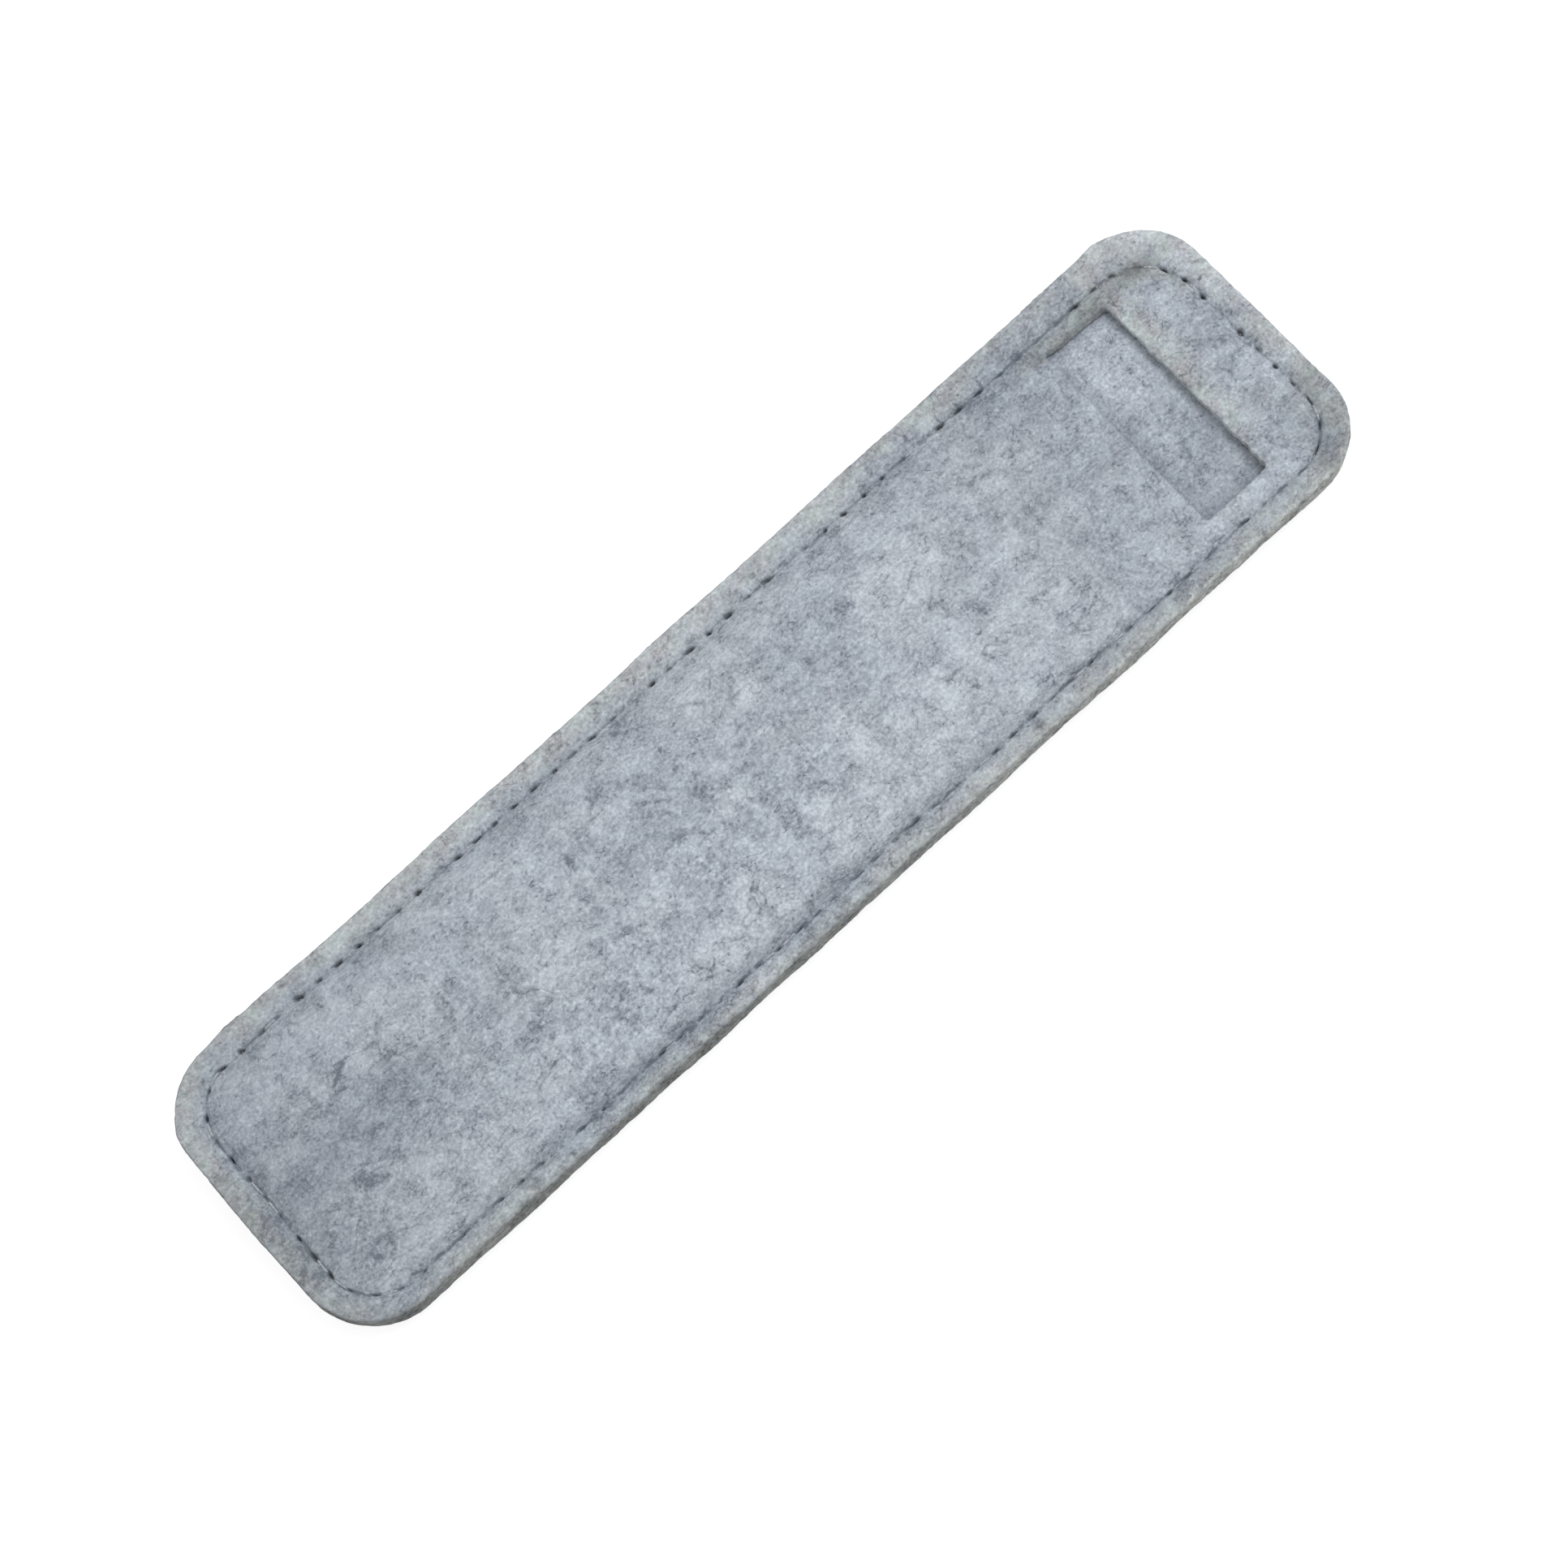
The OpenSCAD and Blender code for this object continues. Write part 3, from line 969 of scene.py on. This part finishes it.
# The felt's lightest and darkest fibre tones: blue-grey on the faces, greyer near the cut edges
LIGHT_BLUE, LIGHT_GREY = linear(209, 217, 227), linear(212, 217, 220)
DARK_BLUE, DARK_GREY = linear(112, 120, 131), linear(116, 121, 123)
PALE_CUT, DEEP_CUT = linear(178, 181, 177), linear(66, 68, 66)
# Painted shade in the needle holes
HOLE_PAINTED_SHADE = linear(50, 54, 61)
DARK_THREAD, PALE_THREAD, DULL_THREAD = linear(136, 141, 148), linear(194, 199, 205), linear(150, 154, 160)
ROSY, LEAFY = (1.03, 0.98, 1.0, 1.0), (0.965, 1.015, 0.98, 1.0)


def seam_shade(s):
    """How much darker the felt is by the stitches: streaks along the seam, partly pressed felt and partly
    painted shade of its valley, and painted shade in a thin crease.
    """
    along = s.times(s.mark("along_seam"), 1 / 6)
    off = s.mark("off_seam")
    flow = s.add("ShaderNodeCombineXYZ", {0: along, 1: off})
    streaks = s.remap(s.noise(flow, 0.6, 3.0, 0.6), 0.45, 0.65, 0.0, 0.24)
    line = s.add("ShaderNodeCombineXYZ", {0: along})
    wander = s.swing(s.noise(line, 0.4, 2.0, 0.5), 0.7)
    crease = s.remap(s.math("ABSOLUTE", s.plus(off, wander)), 0.04, 0.26, 1.0, 0.0)
    drawn_tight = s.remap(s.noise(line, 0.8, 2.0, 0.6), 0.42, 0.62, 0.05, 0.45)
    crease = s.times(s.times(crease, drawn_tight), s.mark("painted_crease_shade"))
    return s.plus(s.times(streaks, s.mark("pressed")), crease)


def fibre_tone(s, plain, warped, clumps, mottle, grain):
    """How light the felt is by its fibres: soft layers, dark knots, curls and flecks, and pale lint."""
    blotches = s.noise(plain, 13.0, 3.0, 0.6)
    swirls = s.noise(plain, 6.0, 1.0, 0.5)
    value = 1.07
    for layer, weight in ((blotches, 0.6), (swirls, 0.25), (clumps, 0.7), (mottle, 0.86), (grain, 1.0)):
        value = s.plus(value, s.swing(layer, weight))

    knots = s.remap(s.noise(plain, 4.6, 4.0, 0.65, 0.4), 0.42, 0.26)
    value = s.minus(value, s.times(knots, 0.46))
    # Curls of fibre: their size, how thin and how dark they are, and where they gather
    gathered = s.math("MAXIMUM", s.remap(clumps, 0.56, 0.4), knots)
    curls = (
        (6.5, 0.022, 0.34, 1.0),
        (2.4, 0.024, 0.46, gathered),
        (0.9, 0.036, 0.46, gathered),
        (1.4, 0.022, -0.14, 1.0),
    )
    for size, thin, darker, where in curls:
        field = s.noise(warped, size, 1.0, 0.5, 1.2)
        line = s.remap(s.math("ABSOLUTE", s.minus(field, 0.5)), 0.0, thin, darker, 0.0)
        broken = s.remap(s.noise(plain, size, 1.0, 0.5), 0.5, 0.6)
        value = s.minus(value, s.times(s.times(line, broken), where))
    flecks = s.remap(s.noise(warped, 0.55, 1.0, 0.5), 0.66, 0.76, 0.0, 0.35)
    lint = s.remap(s.noise(plain, 0.4, 1.0, 0.5), 0.66, 0.74, 0.0, 0.1)
    return s.plus(s.minus(value, flecks), lint)


def fibre_colour(s, plain, value):
    """The felt's colour for that lightness: blue-grey, and greyer, rosy or leafy where it is stained."""
    margin = s.mark("stained")
    tint = s.remap(s.noise(plain, 14.0, 2.0, 0.6), 0.4, 0.65, 0.0, 0.3)
    patchy = s.remap(s.noise(plain, 4.0, 3.0, 0.6), 0.38, 0.6, 0.2, 0.95)
    tint = s.plus(tint, s.times(margin, patchy))
    tint = s.plus(tint, s.times(s.mark("rim"), 0.3), clamp=True)
    shade = s.remap(value, 0.45, 1.6)
    colour = s.mix(shade, s.mix(tint, DARK_BLUE, DARK_GREY), s.mix(tint, LIGHT_BLUE, LIGHT_GREY))
    hue = s.mix(s.remap(s.noise(plain, 3.0, 2.0, 0.6), 0.35, 0.65), ROSY, LEAFY)
    return s.mix(s.plus(0.15, s.times(margin, 0.7)), colour, hue, "MULTIPLY")


def cut_colour(s, plain):
    """The colour of the cut edge: tufts of pale and dark fibre, with dark specks."""
    tufts = s.noise(plain, 0.7, 3.0, 0.65)
    patches = s.plus(s.times(s.noise(plain, 4.5, 2.0, 0.6), 0.7), tufts)
    colour = s.mix(s.remap(patches, 0.58, 1.1), DEEP_CUT, PALE_CUT)
    specks = s.remap(s.noise(s.places((1.8, 1, 1)), 0.5, 2.0, 0.6), 0.57, 0.68, 0.0, 0.65)
    colour = s.mix(specks, colour, DEEP_CUT)
    return s.mix(1.0, colour, s.mark("cut_tone"), "MULTIPLY")


def felt_material():
    """Marled pressed felt: light fibres with darker ones through them, in clumps and curls."""
    s = Shader("felt")
    plain = s.places()
    warp = s.add("ShaderNodeTexNoise", {"Vector": plain, "Scale": 1 / 2.0, "Detail": 2.0}, output=1)
    warped = s.add("ShaderNodeVectorMath", {0: s.places((1.5, 1, 1)), 1: warp}, operation="ADD")
    clumps = s.noise(plain, 3.0, 3.0, 0.5, 0.3)
    mottle = s.noise(warped, 0.8, 2.0, 0.62, 0.4)
    grain = s.noise(plain, 0.4, 1.0, 0.55)

    value = fibre_tone(s, plain, warped, clumps, mottle, grain)
    value = s.plus(s.times(s.minus(value, 1.0), s.mark("contrast")), 1.0)
    value = s.minus(s.times(value, s.mark("tone")), seam_shade(s))
    colour = fibre_colour(s, plain, value)
    ragged = s.swing(s.noise(plain, 1.6, 3.0, 0.6), 1.4)
    cut_share = s.remap(s.plus(s.mark("cut_edge"), ragged), 0.3, 0.9, 0.0, 0.9)
    colour = s.mix(cut_share, colour, cut_colour(s, plain))
    # Painted shade at each needle hole
    colour = s.mix(s.times(s.mark("needle_hole"), 0.75), colour, HOLE_PAINTED_SHADE)

    relief = s.plus(s.times(clumps, 0.4), s.times(mottle, 0.8))
    relief = s.plus(relief, s.times(grain, 0.6))
    bump = s.add("ShaderNodeBump", {"Height": relief, "Strength": 0.7, "Distance": 0.12 * MM})
    rough = s.remap(clumps, 0.3, 0.7, 0.88, 0.98)
    s.fill(s.surface, {"Base Color": colour, "Normal": bump, "Roughness": rough})
    s.fill(s.surface, {"Sheen Weight": 0.12, "Sheen Roughness": 0.6, "Specular IOR Level": 0.2})
    return s.material


def thread_material():
    """Pale grey spun thread."""
    s = Shader("thread")
    plain = s.places()
    strands = s.noise(plain, 0.25, 3.0, 0.6)
    length = s.noise(plain, 3.0, 2.0, 0.5)
    colour = s.mix(s.remap(strands, 0.35, 0.65), DARK_THREAD, PALE_THREAD)
    colour = s.mix(s.remap(length, 0.35, 0.7, 0.0, 0.3), colour, DULL_THREAD)
    bump = s.add("ShaderNodeBump", {"Height": strands, "Strength": 0.5, "Distance": 0.04 * MM})
    rough = s.remap(strands, 0.3, 0.7, 0.55, 0.75)
    s.fill(s.surface, {"Base Color": colour, "Normal": bump, "Roughness": rough, "Sheen Weight": 0.1})
    return s.material


def dress(piece, material, slot, *nodes):
    """A finished piece: it rides on the sleeve's one body and stands for its CAD nodes."""
    piece.data.materials.append(material)
    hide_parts(*nodes)
    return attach(piece, "root")


felt = felt_material()
thread = thread_material()
front = dress(felt_panel("front_felt", 1, 101), felt, "felt", "front_panel")
back = dress(felt_panel("back_felt", -1, 202), felt, "felt", "back_panel")
dress(sewing_thread("needle_stitches", 1, 31), thread, "thread", "needle_thread")
dress(sewing_thread("bobbin_stitches", -1, 32), thread, "thread", "bobbin_thread")


# The floor's colour, how bright it looks to the camera, and the sky's strength on the sleeve
FLOOR_GREY, FLOOR_GLOW, SKY_LIGHT = (0.42, 0.42, 0.42, 1), 0.8, 0.62
# The key lamp, in metres and watts
KEY_SIZE, KEY_POWER, KEY_PLACE = 1.0, 9.6, (0.78, 0.02, 1.18)
# The fitted camera: its lens, its place, and the directions to its right and behind it
LENS, CAMERA_PLACE = 96.38, (-32.49, -152.0, 504.92)
CAMERA_RIGHT, CAMERA_BACK = (0.7389, -0.6576, -0.1465), (-0.0635, -0.2845, 0.9566)


def stage_floor():
    """A plain white floor that keeps the shadow, and looks white to the camera."""
    bpy.ops.mesh.primitive_plane_add(size=4)
    floor = bpy.context.object
    floor.name = "floor"
    s = Shader("floor")
    s.tree.nodes.remove(s.surface)
    rays = s.tree.nodes.new("ShaderNodeLightPath")
    seen = s.math("MAXIMUM", rays.outputs["Is Camera Ray"], rays.outputs["Is Glossy Ray"])
    seen = s.math("MAXIMUM", seen, rays.outputs["Is Transmission Ray"])
    white = s.add("ShaderNodeBsdfDiffuse", {"Color": FLOOR_GREY})
    glow = s.add("ShaderNodeEmission", {"Strength": s.times(seen, FLOOR_GLOW)})
    both = s.add("ShaderNodeAddShader", {0: white, 1: glow})
    s.tree.links.new(both, s.tree.nodes["Material Output"].inputs["Surface"])
    floor.data.materials.append(s.material)


def soft_light():
    """An even white sky, and one large soft lamp beyond the window end."""
    world = bpy.data.worlds.new("studio")
    bpy.context.scene.world = world
    world.use_nodes = True
    nodes, links = world.node_tree.nodes, world.node_tree.links
    sky = nodes["Background"]
    sky.inputs["Color"].default_value = (1, 1, 1, 1)
    rays = nodes.new("ShaderNodeLightPath")
    strength = nodes.new("ShaderNodeMapRange")
    strength.inputs["To Min"].default_value = SKY_LIGHT
    strength.inputs["To Max"].default_value = 1.0
    links.new(rays.outputs["Is Camera Ray"], strength.inputs["Value"])
    links.new(strength.outputs["Result"], sky.inputs["Strength"])
    lamp = bpy.data.lights.new("key", "AREA")
    lamp.shape = "DISK"
    lamp.size = KEY_SIZE
    lamp.energy = KEY_POWER
    key = placed("key", lamp)
    key.location = KEY_PLACE
    key.rotation_euler = (-key.location).to_track_quat("-Z", "Y").to_euler()


def photo_camera():
    """The camera of the photograph, fitted to the sleeve's outline, seam and window."""
    data = bpy.data.cameras.new("photo")
    data.sensor_width = 36.0
    data.lens = LENS
    data.clip_start = 0.01
    camera = placed("photo", data)
    right = Vector(CAMERA_RIGHT).normalized()
    back = Vector(CAMERA_BACK).normalized()
    up = back.cross(right).normalized()
    turn = Matrix((right, up, right.cross(up))).transposed()
    place = Vector(CAMERA_PLACE) * MM
    camera.matrix_world = Matrix.Translation(place) @ turn.to_4x4()
    bpy.context.scene.camera = camera


stage_floor()
soft_light()
photo_camera()
bpy.context.scene.view_settings.view_transform = "Standard"
